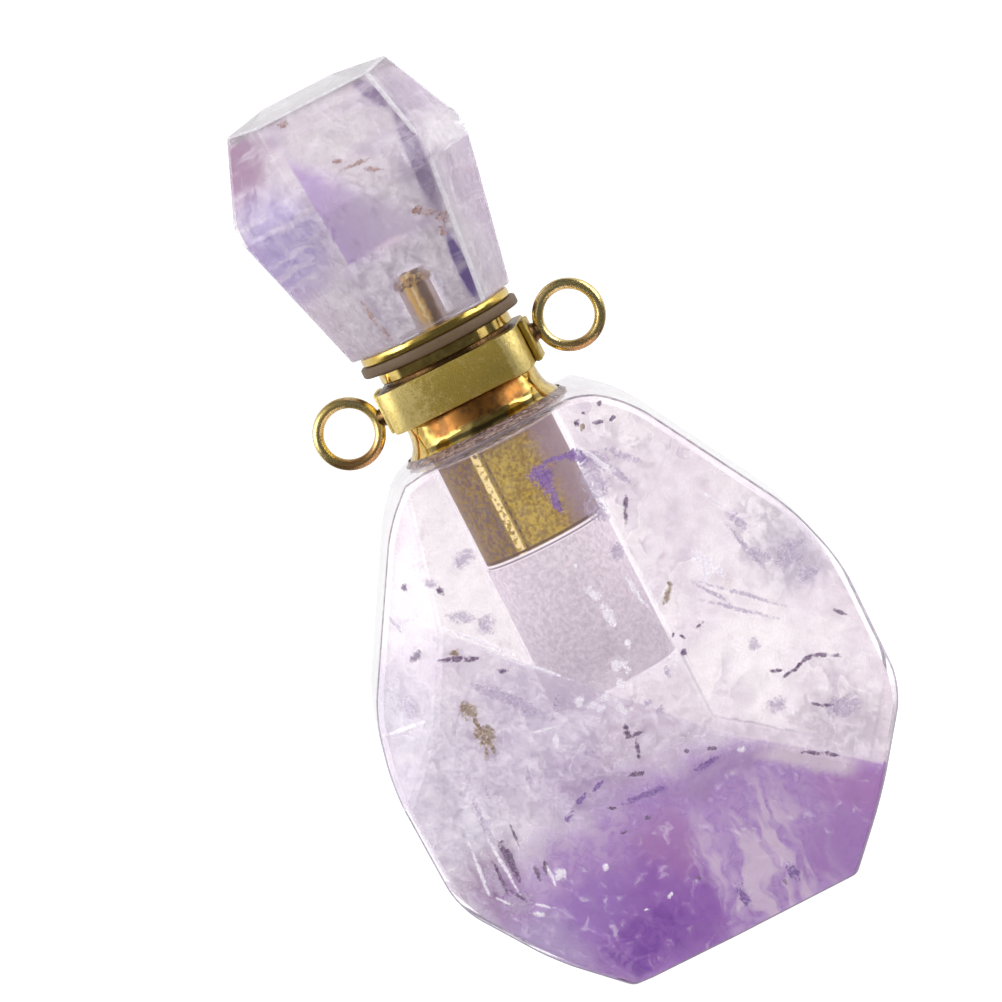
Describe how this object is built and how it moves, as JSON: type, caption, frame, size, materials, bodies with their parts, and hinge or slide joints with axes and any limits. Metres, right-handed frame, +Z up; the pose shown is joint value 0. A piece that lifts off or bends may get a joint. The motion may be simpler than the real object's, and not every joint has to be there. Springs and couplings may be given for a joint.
{
  "type": "bottle pendant",
  "caption": "Faceted stone bottle pendant with a drilled reservoir, a swivelling neck collar with hanging rings, and a screw cap topped by a faceted stone stopper.",
  "frame": {"origin": "where the bottle's axis meets the plane of its flat base", "axes": "+Z up along the bottle's axis from the base to the stopper; -Y is the front of the bottle; +X is to the right when the front is looked at"},
  "size_m": [0.0204, 0.013, 0.0383],
  "materials": {
    "bottle_stone": "polished violet quartz, clear above and purple below",
    "stopper_stone": "polished pale violet quartz",
    "gold": "satin and polished gold-coloured plate",
    "gasket": "matte taupe"
  },
  "bodies": {
    "bottle": {"bottle_stone": "bottle_stone", "neck_fitting": "gold"},
    "collar": {"collar": "gold"},
    "gasket": {"gasket": "gasket"},
    "cap": {"cap_fitting": "gold", "stopper_stone": "stopper_stone"}
  },
  "joints": [
    {"name": "collar_swivel", "type": "hinge", "parent": "bottle", "child": "collar", "pos_m": [0, 0, 0.025], "axis": [0, 0, 1], "continuous": true},
    {"name": "cap_lift", "type": "slide", "parent": "bottle", "child": "gasket", "axis": [0, 0, 1], "range_m": [0, 0.0024]},
    {"name": "cap_turn", "type": "hinge", "parent": "gasket", "child": "cap", "pos_m": [0, 0, 0.0272], "axis": [0, 0, 1], "range_deg": [0, 1728]}
  ],
  "couplings": [
    {"joint": "cap_lift", "follows": "cap_turn", "m_per_rad": 0.000079577}
  ]
}
